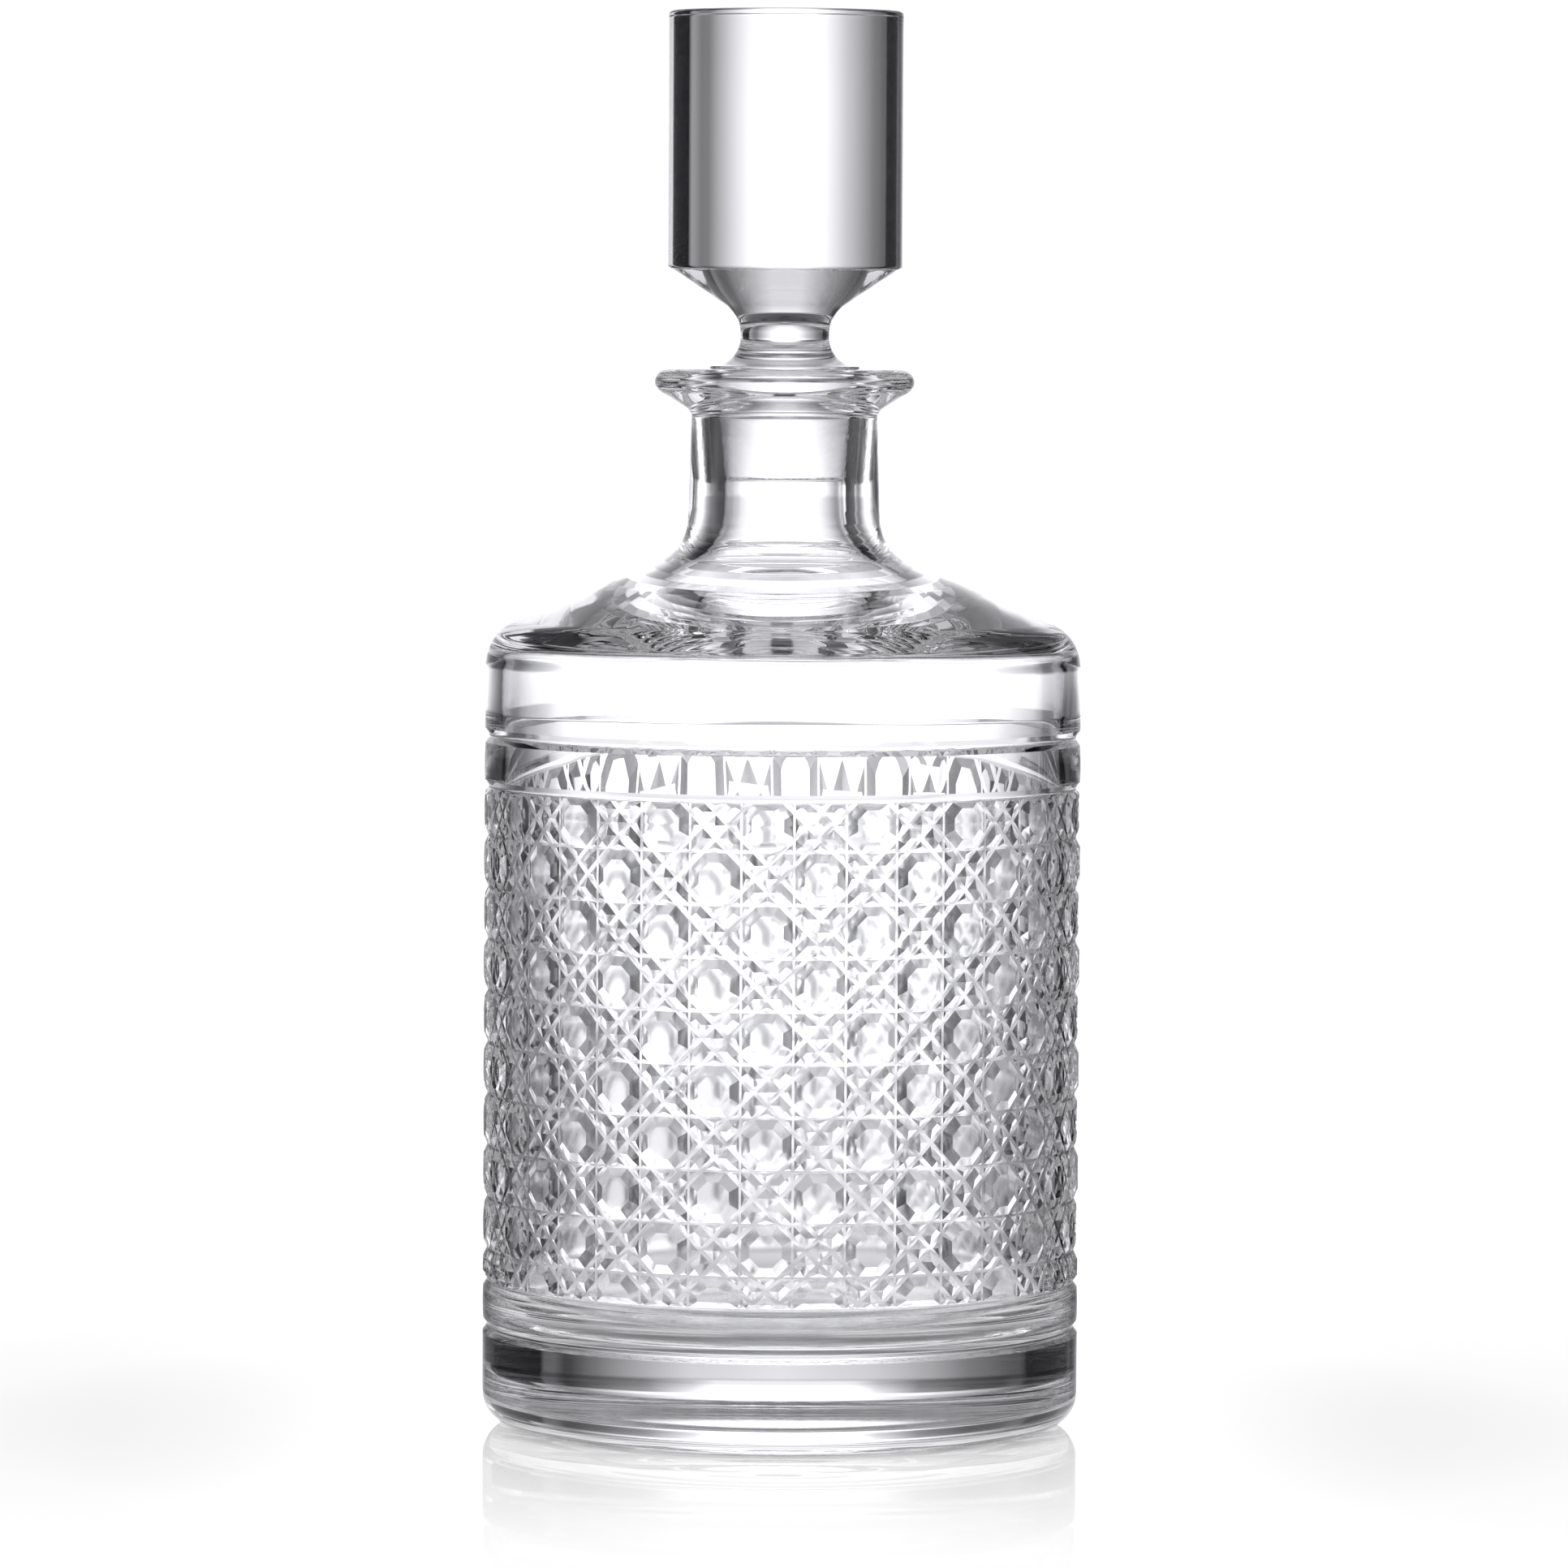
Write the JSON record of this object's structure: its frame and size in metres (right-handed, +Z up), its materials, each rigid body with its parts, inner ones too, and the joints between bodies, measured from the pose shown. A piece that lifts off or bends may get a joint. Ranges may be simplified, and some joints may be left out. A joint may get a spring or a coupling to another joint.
{
  "type": "glass decanter",
  "caption": "Cut-glass cylindrical decanter with a thick base, a ringed and hobnail-cut body, a rolled lip and a lift-out solid glass stopper.",
  "frame": {"origin": "centre of the foot, on the surface the decanter stands on", "axes": "+Z up along the axis of the round body, -Y towards the viewer"},
  "size_m": [0.1052, 0.1052, 0.249],
  "materials": {
    "bottle_glass": "polished clear crystal",
    "stopper_glass": "polished clear crystal, finely ground plug"
  },
  "bodies": {
    "bottle": {"bottle": "bottle_glass"},
    "stopper": {"stopper": "stopper_glass"}
  },
  "joints": [
    {"name": "stopper_lift", "type": "slide", "parent": "bottle", "child": "stopper", "axis": [0, 0, 1], "range_m": [0, 0.03]}
  ]
}
